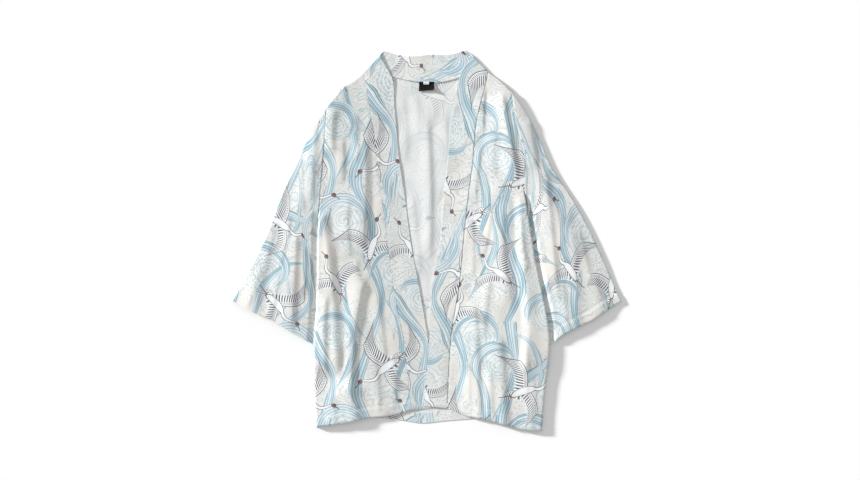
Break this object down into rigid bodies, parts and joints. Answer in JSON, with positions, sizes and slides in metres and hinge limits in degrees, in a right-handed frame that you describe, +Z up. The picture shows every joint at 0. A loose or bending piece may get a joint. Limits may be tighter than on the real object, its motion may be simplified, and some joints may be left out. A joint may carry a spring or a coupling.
{
  "type": "kimono jacket",
  "caption": "Open kimono jacket of printed cloth, laid flat on its back, with wide three-quarter sleeves and a long straight collar band.",
  "frame": {"origin": "middle of the laid-out jacket's bounding box, on the surface that it lies on", "axes": "+Y towards the collar, +Z up, away from the surface, +X towards the wearer's left sleeve"},
  "size_m": [0.7781, 0.7588, 0.0145],
  "materials": {
    "body_cloth": "thin, slightly lustrous woven polyester, off-white with a pale blue and grey print",
    "label_cloth": "black woven label",
    "tab_cloth": "white woven tab"
  },
  "bodies": {
    "root": {"back": "body_cloth", "front_right": "body_cloth", "front_left": "body_cloth", "sleeve_right": "body_cloth", "sleeve_left": "body_cloth", "collar_band": "body_cloth", "neck_label": "label_cloth", "size_tab": "tab_cloth"}
  },
  "joints": []
}
